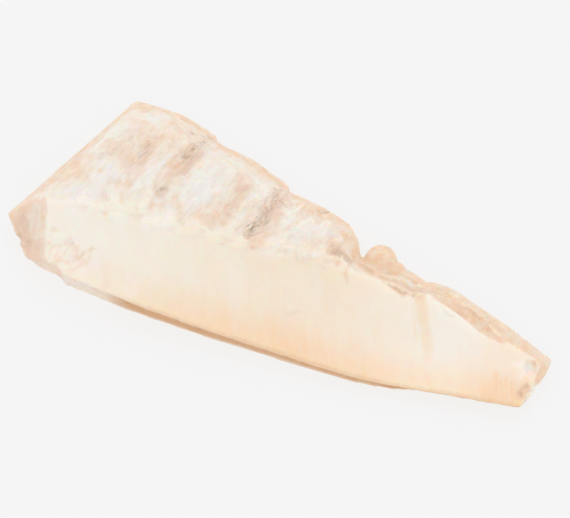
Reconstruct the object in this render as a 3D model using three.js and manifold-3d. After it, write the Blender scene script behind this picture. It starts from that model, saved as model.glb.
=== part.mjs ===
// Selenite crystal blade: one piece of gypsum broken from a larger crystal, lying on its flat cleavage
// face. Millimetres, +Z up, origin under the middle of the blade on the surface that it rests on. +X runs
// from the broad broken end to the tip, and -Y is the long sharp edge.
//
// The blade is a fan of cleavage steps that share one smooth sloping face. Each step is a stack of thin
// sheets with its own rough top and its own bevelled outer edge. Gashes packed with clay part the steps,
// and splinters of sheet, a round lump, chips and broken ends finish the surface.

import * as THREE from "three";
import { mergeVertices } from "three/addons/utils/BufferGeometryUtils.js";
import Module from "manifold-3d";

const wasm = await Module();
wasm.setup();

// Driving dimensions

const LENGTH = 142.4;
const WIDTH = 55.9;
const SHEET = 2.6; // usual thickness of one cleavage sheet
const SHEET_JOG = 0.7; // how far one sheet's edge stands out from the next
const RIM_HEIGHT = 3.6; // height at which the outer edge is widest and turns under
const SMOOTH_RISE = 0.36; // rise of the smooth face per millimetre away from the sharp edge
const SMOOTH_FALL = 0.04; // fall of the smooth face per millimetre towards the tip
const SHARP_EDGE_HEIGHT = 7.8; // height of the smooth face at the broad end of the sharp edge
const TALL = 30; // taller than any part of the blade, for stock that is cut down
const GRAIN = 62; // direction of the gashes and splinters in degrees, seen from above

const radians = THREE.MathUtils.degToRad;
const mix = THREE.MathUtils.lerp;

// A seeded draw, so that every build gives the same crystal
let seed = 20117;
function between(low, high) {
  seed = (seed * 16807) % 2147483647;
  return mix(low, high, seed / 2147483647);
}

// Solids

function solid(geometry, weld = 1e-4) {
  const bare = geometry.clone();
  bare.deleteAttribute("normal");
  bare.deleteAttribute("uv");
  const merged = mergeVertices(bare, weld);
  return new wasm.Manifold(
    new wasm.Mesh({
      numProp: 3,
      vertProperties: merged.attributes.position.array,
      triVerts: new Uint32Array(merged.index.array),
    }),
  );
}

function geometryOf(manifold) {
  const { vertProperties, triVerts } = manifold.getMesh();
  const geometry = new THREE.BufferGeometry();
  geometry.setAttribute("position", new THREE.BufferAttribute(vertProperties, 3));
  geometry.setIndex(new THREE.BufferAttribute(triVerts, 1));
  geometry.computeVertexNormals();
  return geometry;
}

const union = (solids) => wasm.Manifold.union(solids);

// One closed surface: slivers thinner than the weld are dropped, and so is any loose crumb or hollow
function welded(manifold) {
  const weld = 0.01;
  const bodies = solid(geometryOf(manifold.simplify(weld)), weld).decompose();
  return bodies.sort((a, b) => b.volume() - a.volume())[0];
}

// An outline in plan, drawn up from one height to another
function plate(outline, bottom, top) {
  const shape = new THREE.Shape(outline.map(([x, y]) => new THREE.Vector2(x, y)));
  const geometry = new THREE.ExtrudeGeometry(shape, { depth: top - bottom, bevelEnabled: false });
  return geometry.translate(0, 0, bottom);
}

// Everything beyond a face, which is given by a point on it and its outward normal
function beyond([point, normal]) {
  const reach = 4 * LENGTH;
  const direction = new THREE.Vector3(...normal).normalize();
  const turn = new THREE.Quaternion().setFromUnitVectors(new THREE.Vector3(0, 0, 1), direction);
  const block = new THREE.BoxGeometry(reach, reach, reach).translate(0, 0, reach / 2);
  return solid(block.applyQuaternion(turn).translate(...point));
}

const cut = (stock, faces) => faces.reduce((left, face) => left.subtract(beyond(face)), stock);

// A slope is [height, [x, y], [rise along X, rise along Y]], with the height taken at that x and y
const heightAt = ([height, [x0, y0], [riseX, riseY]], [x, y]) =>
  height + (x - x0) * riseX + (y - y0) * riseY;

const faceOf = ([height, [x, y], [riseX, riseY]]) => [[x, y, height], [-riseX, -riseY, 1]];

// An outer edge is [from, to, degrees], with the blade on the right of the way from one to the other. A
// bevel drops to it from the rough top, and the edge turns under below the rim.
function outwardOf([[x1, y1], [x2, y2]]) {
  const along = new THREE.Vector2(x2 - x1, y2 - y1).normalize();
  return [-along.y, along.x];
}

function bevelOf(edge, out = 0) {
  const [nx, ny] = outwardOf(edge);
  const [[x, y], , degrees] = edge;
  const fall = Math.tan(radians(degrees));
  return [RIM_HEIGHT, [x + nx * out, y + ny * out], [-nx * fall, -ny * fall]];
}

function turnUnder(edge, out) {
  const [nx, ny] = outwardOf(edge);
  const [[x, y]] = edge;
  return [[x + nx * out, y + ny * out, RIM_HEIGHT], [nx, ny, -0.75]];
}

// Faces that run the whole length of the blade

const smooth = [SHARP_EDGE_HEIGHT, [-LENGTH / 2, -WIDTH / 2], [-SMOOTH_FALL, SMOOTH_RISE]];
const tipFacet = [7.2, [60, -17], [-0.17, 0.33]];
const tipUnderside = [[46, 0, 0], [0.055, -0.01, -1]];

// The long chip under the sharp edge near the tip lies beyond both of these faces
const edgeChip = [
  [[47.5, -26, 3.2], [0.12, -1, -0.42]],
  [[33, -28, 0], [0.4, 0, -1]],
];

// The cleavage steps, from the broad end to the tip, each with its outline in plan, its outer edges and
// the slope of its rough top

const FRONT = -WIDTH / 2 - 2;
const steps = [
  {
    outline: [
      [-72, -12.6], [-49.6, 27.8], [-46, 27.1], [-41, 27.9], [-33.5, 26.3], [-26.6, 24.1], [-25.4, 21.2],
      [-35, 0], [-37, FRONT], [-49, FRONT], [-55.6, -23.4], [-62.2, -22.2], [-66.2, -18.4],
    ],
    edges: [
      [[-71, -12.5], [-49.6, 27.4], 60],
      [[-49.4, 27.7], [-36, 27.2], 50],
      [[-36, 27.2], [-25, 23.4], 50],
      [[-62, -23.6], [-71, -12.2], 47],
    ],
    top: [15, [-40, -4.7], [0.07, -0.06]],
  },
  {
    outline: [
      [-44, 0], [-29, 22.6], [-15.4, 20.4], [-8.6, 17.9], [-7.6, 17.1], [-4.7, 16.4], [-4, 12],
      [-10, -4], [-12, FRONT], [-44, FRONT],
    ],
    edges: [
      [[-27, 22.7], [-15.6, 20.1], 51],
      [[-16, 20.3], [-4, 15.9], 49],
    ],
    top: [14, [-20, -5.5], [-0.02, -0.055]],
  },
  {
    outline: [
      [-15, 0], [-8, 14.6], [-1, 14.6], [5, 13.2], [12.6, 11], [15.8, 8.2], [18.4, 2.2], [19, -6],
      [20, FRONT], [-15, FRONT],
    ],
    edges: [
      [[-6, 14.8], [5, 13], 46],
      [[4, 13.4], [13, 10.6], 44],
      [[12.4, 11.3], [16, 7.4], 54],
      [[15.7, 8.4], [19, 1.2], 66],
    ],
    top: [13.8, [4, -2.5], [-0.03, -0.12]],
  },
  {
    outline: [
      [12, 2], [18, 2.4], [24, 4], [28, 3], [31.8, 3.5], [37.4, 1.4], [40, -3], [40, FRONT], [12, FRONT],
    ],
    edges: [
      [[17, 3.2], [31.5, 3.2], 50],
      [[31, 3.3], [39, 0.4], 49],
    ],
    top: [12.3, [26, -4.6], [-0.05, -0.22]],
  },
  {
    outline: [
      [34, -1], [38, 1.7], [45.4, 1.7], [48.6, 0.2], [54.6, -2], [62.8, -5.6], [70, -7.4], [71.9, -8.6],
      [72.1, -11.8], [70, -16.4], [68.5, -17.2], [70.2, -20.8], [68.6, -24.3], [62, FRONT], [34, FRONT],
    ],
    edges: [
      [[38, 2.4], [45.6, 1.7], 57],
      [[44.8, 2.1], [54.8, -2.1], 50],
      [[54.4, -2], [72, -8.1], 45],
      [[71.3, -7], [72.5, -11.8], 62],
      [[72.4, -11], [69.5, -18], 58],
      [[70.6, -17], [70, -22], 50],
      [[70.3, -20.6], [66, -26.4], 40],
    ],
    top: [12, [42, -5.5], [-0.12, -0.2]],
  },
];

// One step, cut from a stack of sheets whose edges stand a little in or out of one another
function cleavageStep({ outline, edges, top }) {
  const sheets = [];
  let bottom = 0;
  while (bottom < top[0]) {
    const next = bottom + SHEET * between(0.7, 1.3);
    const out = between(-SHEET_JOG, 0.4 * SHEET_JOG);
    const bevels = edges.map((edge) => faceOf(bevelOf(edge, out)));
    const undersides = edges.map((edge) => turnUnder(edge, out));
    sheets.push(cut(solid(plate(outline, bottom, next + 0.02)), [...bevels, ...undersides]));
    bottom = next;
  }
  return cut(union(sheets), [faceOf(top)]);
}

// The sharp edge swells a little in the middle and is nicked at the broad end
const sharpEdge = [
  [-57, -22.9], [-53, -23.6], [-51, -25.2], [-47.6, -25.4], [-34, -26.9], [-14, -27.9], [12, -28.4],
  [25, -28.4], [35, -27.6], [47.5, -26], [62.3, -24.4], [70, -23.2],
];

function besideSharpEdge() {
  const far = 2 * WIDTH;
  const end = [LENGTH, sharpEdge.at(-1)[1]];
  const outline = [[-LENGTH, -far], [LENGTH, -far], end, ...sharpEdge.toReversed(), [-LENGTH, -10]];
  return solid(plate(outline, -1, TALL));
}

// Turns a geometry that was made flat at the origin onto a slope, over a point in plan
function laidOn(slope, place, geometry) {
  const normal = new THREE.Vector3(...faceOf(slope)[1]).normalize();
  const turn = new THREE.Quaternion().setFromUnitVectors(new THREE.Vector3(0, 0, 1), normal);
  return geometry.applyQuaternion(turn).translate(...place, heightAt(slope, place));
}

// A splinter of sheet: long, pointed at both ends and uneven, from one depth to another
function splinter(length, width, bottom, top) {
  const ends = [between(-0.4, 0.4), between(-0.4, 0.4)];
  const corners = [[-0.5, ends[0]], [-0.3, 0.42], [0.2, 0.5], [0.5, ends[1]], [0.3, -0.45], [-0.25, -0.5]];
  const outline = corners.map(([along, across]) => [
    (along + between(-0.14, 0.14)) * length,
    (across + between(-0.08, 0.08)) * width,
  ]);
  return plate(outline, bottom, top);
}

// Fields of splinters, in rows and columns over a patch of a slope. Some stand proud of it, and the same
// number are missing from it and leave a shallow pit.
const roughFields = [
  {
    slope: steps[0].top,
    low: [[-55, -5], [-36, -3.5]],
    high: [[-45.5, 17.5], [-29.5, 16.5]],
    rows: 5,
    columns: 6,
    length: [5, 11],
    width: [2, 4],
    step: [0.12, 0.5],
    direction: GRAIN,
  },
  {
    slope: steps[1].top,
    low: [[-34, -4], [-11, -4.5]],
    high: [[-25.5, 14], [-9, 9.5]],
    rows: 4,
    columns: 7,
    length: [4.5, 9],
    width: [1.8, 3.6],
    step: [0.12, 0.5],
    direction: GRAIN,
  },
  {
    slope: steps[2].top,
    low: [[-7, -3.5], [15, -3.5]],
    high: [[-3, 7.5], [11, 4.5]],
    rows: 3,
    columns: 7,
    length: [3.5, 7.5],
    width: [1.6, 3.2],
    step: [0.12, 0.45],
    direction: GRAIN + 5,
  },
  {
    slope: smooth,
    low: [[-57, -21.5], [-47, -24]],
    high: [[-58, -14], [-49, -17.5]],
    rows: 3,
    columns: 4,
    length: [2.5, 5],
    width: [1.4, 2.6],
    step: [0.12, 0.35],
    direction: 25,
  },
  {
    slope: smooth,
    low: [[-53, -9.4], [16, -5.2]],
    high: [[-53, -7.8], [16, -3.8]],
    rows: 1,
    columns: 22,
    length: [4, 9],
    width: [1.4, 3],
    step: [0.1, 0.3],
    direction: 15,
  },
  {
    slope: bevelOf(steps[3].edges[0]),
    low: [[20, -2.5], [33, -3]],
    high: [[20, 1], [33, 1.6]],
    rows: 2,
    columns: 5,
    length: [5, 9],
    width: [0.9, 1.6],
    step: [0.2, 0.6],
    direction: -14,
  },
  {
    slope: bevelOf(steps[4].edges[1]),
    low: [[40, -3.5], [54, -8]],
    high: [[40, -1], [54, -4.5]],
    rows: 2,
    columns: 4,
    length: [5, 9],
    width: [0.8, 1.4],
    step: [0.15, 0.4],
    direction: -21,
  },
  {
    slope: bevelOf(steps[0].edges[0]),
    low: [[-68, -10], [-50, 23]],
    high: [[-65, -10.5], [-47.5, 22]],
    rows: 1,
    columns: 7,
    length: [5, 9],
    width: [0.9, 1.6],
    step: [0.15, 0.4],
    direction: GRAIN,
  },
];

const placeOn = (line, share) => [0, 1].map((axis) => mix(line[0][axis], line[1][axis], share));

function roughField({ slope, low, high, rows, columns, length, width, step, direction }) {
  const proud = [];
  const missing = [];
  for (let i = 0; i < rows * columns; i++) {
    const along = ((i % columns) + between(0.1, 0.9)) / columns;
    const up = (Math.floor(i / columns) + between(0.1, 0.9)) / rows;
    const place = placeOn([placeOn(low, along), placeOn(high, along)], up);
    const relief = between(...step);
    const [bottom, top] = i % 2 ? [-1.5, relief] : [-relief, 3];
    const piece = splinter(between(...length), between(...width), bottom, top);
    piece.rotateX(radians(between(-5, 5))).rotateY(radians(between(-4, 4)));
    piece.rotateZ(radians(direction + between(-20, 20)));
    (i % 2 ? proud : missing).push(solid(laidOn(slope, place, piece)));
  }
  return { proud, missing };
}

// Gashes and cracks: V grooves between two points in plan, with the height of the surface that they open
// in at either end, and their width and depth
const gashes = [
  { from: [-36, -2], to: [-24.4, 20], heights: [15.4, 12.6], width: 2.6, depth: 2.2 },
  { from: [-43.5, 1], to: [-38, 12], heights: [14.8, 14.2], width: 2.6, depth: 0.8 },
  { from: [-18, -1], to: [-13, 10], heights: [13.9, 13.2], width: 2.8, depth: 0.8 },
  { from: [-10.6, -5.6], to: [-3.4, 13.4], heights: [13.9, 11.9], width: 2.8, depth: 2 },
  { from: [14.2, -3.6], to: [17.4, -0.6], heights: [13.6, 12.4], width: 3, depth: 1.6 },
  { from: [-31, 21.6], to: [-25, 19.4], heights: [12.3, 10.4], width: 1.5, depth: 1.2 },
  { from: [23.5, -4.6], to: [36.5, -6.4], heights: [12.5, 11.3], width: 1.6, depth: 1 },
  { from: [41, -3.4], to: [58.5, -10.6], heights: [9.7, 7.9], width: 1.3, depth: 0.9 },
  { from: [32, -4.4], to: [39.5, -1.9], heights: [10.6, 9.2], width: 1.3, depth: 0.9 },
  { from: [59.5, -14.5], to: [62.2, -24.5], heights: [7.6, 3.9], width: 0.7, depth: 0.35 },
  { from: [61.2, -16], to: [63.6, -24.2], heights: [6.9, 3.8], width: 0.8, depth: 0.4 },
  { from: [63.2, -15.5], to: [65.2, -24], heights: [6.8, 3.7], width: 0.7, depth: 0.35 },
  { from: [-64.5, -19.6], to: [-61, -9.6], heights: [7.2, 12], width: 1.1, depth: 0.5 },
  { from: [-61, -20.8], to: [-59.4, -13], heights: [8.2, 12.2], width: 1, depth: 0.4 },
];

function gash({ from, to, heights, width, depth }) {
  const [dx, dy] = [to[0] - from[0], to[1] - from[1]];
  const long = Math.hypot(dx, dy);
  const section = new THREE.Shape();
  section.moveTo(-width * 1.3, 2 * depth).lineTo(-0.15 * width, -depth).lineTo(width, 2 * depth);
  const geometry = new THREE.ExtrudeGeometry(section, { depth: long, steps: 5, bevelEnabled: false });
  const position = geometry.attributes.position;
  const centre = new THREE.Vector3();
  for (let i = 0; i < position.count; i++) {
    centre.fromBufferAttribute(position, i);
    const along = centre.z / long;
    const open = Math.sin(Math.PI * mix(0.12, 0.88, along));
    const wander = Math.sin(along * 11 + from[0]) * 0.2 * width;
    centre.x = centre.x * open + wander;
    centre.y = (centre.y < 0 ? centre.y * open : centre.y) + mix(...heights, along);
    position.setXYZ(i, ...centre);
  }
  geometry.rotateX(Math.PI / 2).rotateZ(Math.atan2(dy, dx) + Math.PI / 2);
  return solid(geometry.translate(...from, 0));
}

// Uneven balls, for lumps and for scooped chips
function ball(place, radii, unevenness, detail = 1) {
  const geometry = new THREE.IcosahedronGeometry(1, detail);
  geometry.deleteAttribute("normal");
  geometry.deleteAttribute("uv");
  const merged = mergeVertices(geometry);
  const position = merged.attributes.position;
  const point = new THREE.Vector3();
  for (let i = 0; i < position.count; i++) {
    point.fromBufferAttribute(position, i).multiplyScalar(1 + between(-unevenness, unevenness));
    position.setXYZ(i, ...point);
  }
  return solid(merged.scale(...radii).translate(...place));
}

const lumps = () => [
  ball([23.4, 2.4, 5.2], [4.3, 4.5, 4.8], 0.04, 2),
  ball([27, 0.4, 5], [4.2, 3.4, 4.2], 0.06),
  ball([66.9, -19.8, 4.4], [1.6, 1.4, 1.4], 0.08),
  ball([17.8, -1.2, 11.6], [1.2, 1, 1.1], 0.12),
  ball([16, -3.4, 12.6], [0.9, 1.1, 0.8], 0.12),
];

const scoops = () => [
  ball([66.4, -14.2, 8.4], [2, 2.2, 2.3], 0.08),
  ball([10.5, 7.4, 11.6], [0.8, 0.7, 1], 0.1),
  ball([-53.5, -24.6, 9.4], [2.4, 1.6, 1.6], 0.12),
  ball([-66, -18, 4.6], [1.4, 1.5, 2], 0.12),
];

// The back face is flat, but two sheets are missing from it in part
const backRecesses = [
  [[-73, -6], [-58, 20], [-52, 14], [-55, 2], [-61, -4], [-60, -12], [-64, -20], [-74, -20]],
  [[32, -31], [30, -22], [35, -16], [40, -19], [52, -16], [60, -20], [66, -31]],
];

function blade() {
  const body = union(steps.map(cleavageStep)).subtract(besideSharpEdge());
  const faced = cut(body, [faceOf(smooth), faceOf(tipFacet), tipUnderside]);
  const chip = wasm.Manifold.intersection(edgeChip.map(beyond));
  const fields = roughFields.map(roughField);
  const missing = union(fields.flatMap((field) => field.missing));
  const rough = union([faced.subtract(missing), ...fields.flatMap((field) => field.proud)]);
  const recesses = backRecesses.map((outline) => solid(plate(outline, -1, 0.7)));
  const gashed = rough.subtract(union([...gashes.map(gash), ...scoops(), ...recesses, chip]));
  return welded(union([gashed, ...lumps()]));
}

// The finished blade, brought to its length and width over the origin
function fitted(geometry) {
  geometry.computeBoundingBox();
  const size = geometry.boundingBox.getSize(new THREE.Vector3());
  const middle = geometry.boundingBox.getCenter(new THREE.Vector3());
  geometry.translate(-middle.x, -middle.y, -geometry.boundingBox.min.z);
  return geometry.scale(LENGTH / size.x, WIDTH / size.y, 1);
}

const selenite = new THREE.MeshStandardMaterial({ color: 0xf3e6d4, roughness: 0.45, metalness: 0 });
const mesh = new THREE.Mesh(fitted(geometryOf(blade())), selenite);
mesh.name = "selenite_blade";

const group = new THREE.Group();
group.add(mesh);
export default group;
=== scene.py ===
"""A milky selenite blade lying on a pale studio table.

The blade is one piece of gypsum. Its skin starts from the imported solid, gets a fine even mesh, and is then
worked in millimetres: torn sheets on the rough side, fibres along the thin rim, thin layers round the
broken edges, and a smooth sloping face. The same places carry the colours: cream body, peach rind, white
crushed flakes, brown hollows and dried clay.
"""

from __future__ import annotations

import logging
import math
from dataclasses import dataclass
from enum import Enum

import bmesh
import bpy
import numpy as np
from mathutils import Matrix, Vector, noise

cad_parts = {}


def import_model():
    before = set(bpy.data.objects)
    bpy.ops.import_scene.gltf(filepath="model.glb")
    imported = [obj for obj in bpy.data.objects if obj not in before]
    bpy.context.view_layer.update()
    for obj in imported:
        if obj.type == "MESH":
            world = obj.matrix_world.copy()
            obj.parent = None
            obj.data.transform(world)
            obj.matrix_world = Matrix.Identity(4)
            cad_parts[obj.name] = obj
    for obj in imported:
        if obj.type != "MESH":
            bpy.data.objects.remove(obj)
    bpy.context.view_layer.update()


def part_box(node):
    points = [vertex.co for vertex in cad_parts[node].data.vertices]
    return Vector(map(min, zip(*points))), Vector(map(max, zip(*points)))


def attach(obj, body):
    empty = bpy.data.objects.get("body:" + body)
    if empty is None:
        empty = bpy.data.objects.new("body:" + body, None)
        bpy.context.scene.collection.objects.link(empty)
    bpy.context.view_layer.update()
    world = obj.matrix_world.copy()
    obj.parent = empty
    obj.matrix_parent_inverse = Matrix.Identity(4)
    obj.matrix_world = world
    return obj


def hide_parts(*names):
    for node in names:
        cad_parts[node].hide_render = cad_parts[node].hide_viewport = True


MM = 0.001
LOG = logging.getLogger("selenite")

# The setting of a Math node that multiplies
TIMES = {"operation": "MULTIPLY"}

# How fast the finer layers of a noise weaken, and how much finer each is than the one before
NOISE_FADE = 0.9
NOISE_STEP = 2.0

# A stroke's core of full strength and the wander of its outline, as shares of its reach, and the furthest
# that a wide one wanders, in millimetres
STROKE_CORE = 0.25
STROKE_WANDER = 0.6
STROKE_WANDER_MOST = 2.2

# Corners in plan; pairs of a place along the blade and a value there; the ends of a smooth change
Path = tuple[tuple[float, float], ...]
Course = tuple[tuple[float, float], ...]
Ramp = tuple[float, float]


class Trace(Enum):
    """The point attributes that carry the crystal's markings to its material."""

    WARMTH = "warmth"
    # Painted shade: a warm brown shadow under the sharp edge, with a painted glow of light through the thin
    # edge
    PAINTED_EDGE_SHADE = "painted_edge_shade"
    RIND = "rind"
    HOLLOW = "hollow"
    FROST = "frost"
    CLAY = "clay"
    CRACK = "crack"
    FLECK = "fleck"
    DRY = "dry"


class Zone(Enum):
    """The kinds of surface that the crystal shows."""

    SMOOTH = "cleaved face"
    TORN = "torn sheets"
    FIBROUS = "fibrous rim"
    SIDES = "broken edges"


Zones = dict[Zone, np.ndarray]
Marks = dict[Trace, np.ndarray]


# Small helpers


def linear(hex_colour: str) -> tuple[float, float, float, float]:
    """Turn an sRGB colour to the linear values that a shader reads.

    Args:
        hex_colour: six hex digits.

    Returns:
        Red, green, blue and an alpha of 1.
    """
    channels = [int(hex_colour[i : i + 2], 16) / 255 for i in (0, 2, 4)]
    red, green, blue = (c / 12.92 if c <= 0.04045 else ((c + 0.055) / 1.055) ** 2.4 for c in channels)
    return red, green, blue, 1.0


def add_node(
    tree: bpy.types.NodeTree,
    kind: str,
    settings: dict[str, object] | None = None,
    values: dict[str | int, object] | None = None,
    links: dict[str | int, bpy.types.NodeSocket] | None = None,
) -> bpy.types.Node:
    """Add a node with its settings, socket values and incoming links.

    Args:
        tree: the tree that gets the node.
        kind: the node's type name.
        settings: properties of the node itself.
        values: values of unlinked sockets, by name or index.
        links: source sockets, by the name or index of the socket that they feed.

    Returns:
        The new node.
    """
    made = tree.nodes.new(kind)
    for name, value in (settings or {}).items():
        setattr(made, name, value)
    for socket, value in (values or {}).items():
        made.inputs[socket].default_value = value
    for socket, source in (links or {}).items():
        tree.links.new(source, made.inputs[socket])
    return made


def placed(name: str, data: bpy.types.ID) -> bpy.types.Object:
    """Put a mesh, a camera or a light into the scene.

    Args:
        name: the object's name.
        data: what it shows.

    Returns:
        The new object.
    """
    made = bpy.data.objects.new(name, data)
    bpy.context.scene.collection.objects.link(made)
    return made


def ease(values: np.ndarray, low: float, high: float) -> np.ndarray:
    """Rise smoothly from 0 at low to 1 at high, or fall where high is the smaller."""
    share = np.clip((values - low) / (high - low), 0.0, 1.0)
    return share * share * (3.0 - 2.0 * share)


def at_least(floor: float, share: np.ndarray) -> np.ndarray:
    """Squeeze a share of 0 to 1 so that it runs from floor to 1."""
    return floor + (1.0 - floor) * share


def read_off(course: Course, x: np.ndarray) -> np.ndarray:
    """Read a value that changes along the blade, at each place x."""
    return np.interp(x, *zip(*course))


def distance_to(path: Path, plan: np.ndarray) -> np.ndarray:
    """Measure how far points lie from a path, seen from above.

    Args:
        path: the path's corners in plan, in millimetres.
        plan: the points, one row each.

    Returns:
        The distance of each point to the nearest stretch of the path.
    """
    nearest = np.full(len(plan), np.inf)
    for start, end in zip(path, path[1:]):
        origin = np.array(start)
        along = np.array(end) - origin
        share = np.clip((plan - origin) @ along / (along @ along), 0.0, 1.0)
        nearest = np.minimum(nearest, np.linalg.norm(plan - origin - share[:, None] * along, axis=1))
    return nearest


@dataclass(frozen=True)
class Drift:
    """Cloudy noise: its largest clouds' size on each axis in millimetres, its finer layers and its seed."""

    size: tuple[float, float, float]
    octaves: int
    seed: float

    def at(self, points: np.ndarray) -> np.ndarray:
        """Sample the noise, about -1 to 1, at points in millimetres."""
        places = points / np.array(self.size) + self.seed
        return np.array([noise.fractal(Vector(p), NOISE_FADE, NOISE_STEP, self.octaves) for p in places])


def turned(points: np.ndarray, degrees: float) -> np.ndarray:
    """Give points in axes turned in plan, so that the first axis runs in the direction named.

    Args:
        points: the points, one row each.
        degrees: the direction of the first axis, seen from above.

    Returns:
        The points in the turned axes.
    """
    turn = math.radians(degrees)
    x, y, z = points.T
    along = x * math.cos(turn) + y * math.sin(turn)
    across = y * math.cos(turn) - x * math.sin(turn)
    return np.stack([along, across, z], axis=1)


def terraced(height: np.ndarray, tread: float, flat: float) -> np.ndarray:
    """Turn a rolling height into flat treads with short steep risers between them.

    Args:
        height: the rolling height.
        tread: how far apart the treads lie.
        flat: how much of each step is tread, the rest being riser.

    Returns:
        The stepped height.
    """
    steps = height / tread
    base = np.floor(steps)
    return (base + ease(steps - base, flat, 1.0)) * tread


# The crystal's plan


@dataclass(frozen=True)
class Stroke:
    """A marking that follows a path in plan and fades out at its reach, in millimetres."""

    path: Path
    reach: float
    strength: float = 1.0


@dataclass(frozen=True)
class BladePlan:
    """Where the blade's features lie, in millimetres, seen from above."""

    torn_grain: float = 62.0
    rim_grain: float = -22.0
    cleavage: float = -70.0
    smooth_face: tuple[float, float, float] = (7.8, -0.04, 0.361)
    smooth_face_origin: tuple[float, float] = (-71.55, -27.5)
    knob: tuple[float, float, float] = (23.6, 2.0, 6.5)
    rim_starts: float = 16.5

    sharp_edge: Path = (
        (-57.3, -22.5), (-47.9, -25.0), (-34.2, -26.5), (-14.2, -27.5), (11.9, -27.9),
        (25.0, -27.9), (35.0, -27.2), (47.5, -25.6), (62.4, -24.0), (70.1, -22.8),
    )  # fmt: skip
    outer_edge: Path = (
        (-71.4, -12.1), (-49.9, 27.9), (-41.3, 28.0), (-33.7, 26.5), (-25.6, 23.7), (-15.6, 20.5),
        (-4.8, 16.3), (4.9, 13.4), (12.5, 11.3), (15.7, 8.6), (18.3, 2.6), (24.0, 4.0), (31.8, 3.8),
        (38.0, 2.1), (45.4, 2.1), (54.7, -1.6), (62.9, -5.2), (72.0, -8.0), (72.2, -11.4),
        (69.1, -16.8), (70.3, -20.4),
    )  # fmt: skip
    broad_end: Path = ((-71.4, -12.1), (-66.5, -18.0), (-62.5, -21.8), (-55.9, -23.0))

    # Gashes, a slot and a chip that crumbs and fibres nearly fill
    filled: tuple[Stroke, ...] = (
        Stroke(((41.5, -3.8), (46.0, -5.3), (50.0, -6.8), (54.0, -8.7), (59.0, -10.6)), 3.4),
        Stroke(((-6.0, 11.8), (-7.8, 4.3), (-9.7, -2.2)), 4.0, 0.8),
        Stroke(((-27.0, 21.0), (-30.5, 12.0), (-34.4, 2.0)), 4.0, 0.5),
        Stroke(((65.6, -12.8), (67.0, -14.6)), 4.4),
    )
    # Soft brown-peach hollows: beside the broad end, under the corner slab, and between the two gashes
    hollows: tuple[Stroke, ...] = (
        Stroke(((-49.3, 9.7), (-45.3, 8.2), (-42.7, 6.0)), 3.8, 0.7),
        Stroke(((-43.0, 5.4), (-42.2, 1.5)), 2.2, 0.5),
        Stroke(((-40.6, 13.2), (-41.0, 7.3)), 2.6, 0.75),
        Stroke(((-51.5, 6.1), (-48.8, 8.1)), 0.9, 0.7),
        Stroke(((-43.8, -3.2), (-42.4, -1.7)), 1.2, 0.3),
        Stroke(((-30.2, 15.2), (-32.2, 10.5), (-33.6, 4.9), (-34.8, 1.3)), 2.3, 0.85),
        Stroke(((-27.1, 16.3), (-29.2, 12.0), (-31.9, 7.0)), 2.2, 0.8),
        Stroke(((-15.2, 11.4), (-15.2, 6.4), (-16.3, 1.5)), 3.2, 0.8),
        Stroke(((-19.8, -2.2), (-17.1, -0.8)), 2.2, 0.3),
        Stroke(((-28.1, -0.7), (-24.7, -1.6)), 2.6, 0.3),
        Stroke(((-24.7, 14.5), (-21.9, 13.4)), 1.3, 0.35),
        Stroke(((-5.1, 10.4), (-5.2, 3.5), (-7.2, -3.2)), 3.2, 0.9),
        Stroke(((-8.6, -3.6), (-6.8, -3.8)), 1.6, 0.8),
        Stroke(((5.5, -0.8), (8.4, -0.2)), 2.0, 0.35),
        Stroke(((11.7, 0.2), (13.8, -1.2), (15.5, -1.3)), 3.0, 0.9),
        Stroke(((15.8, -2.8), (16.6, -6.2)), 1.2, 0.8),
        Stroke(((-42.8, -19.2), (-40.4, -22.9)), 2.8, 0.22),
        Stroke(((25.3, -2.9), (29.7, -5.0), (33.7, -5.6), (37.8, -3.0)), 1.6, 0.8),
        Stroke(((44.8, -4.3), (49.4, -5.4), (54.6, -7.4)), 1.0, 0.4),
        Stroke(((-60.5, 3.0), (-57.0, 7.0), (-54.5, 12.0)), 2.4, 0.4),
    )
    # Dry white crushed patches
    crushed: tuple[Stroke, ...] = (
        Stroke(((-53.0, -5.0), (-49.5, -1.5), (-45.2, 3.4)), 6.0),
        Stroke(((-49.3, 12.9), (-45.6, 15.5)), 2.2, 0.8),
        Stroke(((-37.4, 3.6), (-34.8, 10.2)), 3.2, 0.8),
        Stroke(((-25.7, 3.9), (-22.5, 8.5), (-19.0, 11.9)), 5.8, 0.9),
        Stroke(((-34.0, -5.6), (-29.2, -1.3)), 4.0, 0.7),
        Stroke(((-10.1, 6.9), (-9.3, 9.6)), 1.6),
        Stroke(((-13.9, -1.0), (-13.6, 3.1), (-12.2, 7.1)), 2.4, 0.9),
        Stroke(((-33.2, 10.0), (-30.9, 13.6)), 1.0),
        Stroke(((-28.9, 15.7), (-28.2, 18.8)), 0.8, 0.8),
        Stroke(((-4.0, -3.2), (2.5, 1.5), (8.2, 3.9)), 4.8, 0.6),
        Stroke(((-45.0, 19.1), (-42.1, 19.3), (-40.4, 21.0)), 1.9, 0.5),
        Stroke(((-57.0, -21.4), (-53.1, -22.6), (-48.6, -22.0)), 2.6, 0.6),
        Stroke(((-55.5, -17.6), (-50.5, -17.2)), 1.8, 0.5),
        Stroke(((27.0, -0.7), (30.0, -1.9), (33.1, -2.0), (36.4, -2.6)), 0.5, 0.8),
        Stroke(((30.4, -8.4), (33.7, -9.8)), 2.8, 0.35),
        Stroke(((-35.8, -19.6), (-33.1, -23.3)), 1.8, 0.4),
        Stroke(((63.6, -12.9), (65.3, -14.6)), 2.4),
        Stroke(((-57.5, -20.2), (-52.0, -20.8), (-46.5, -21.2)), 2.8, 0.8),
    )
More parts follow.
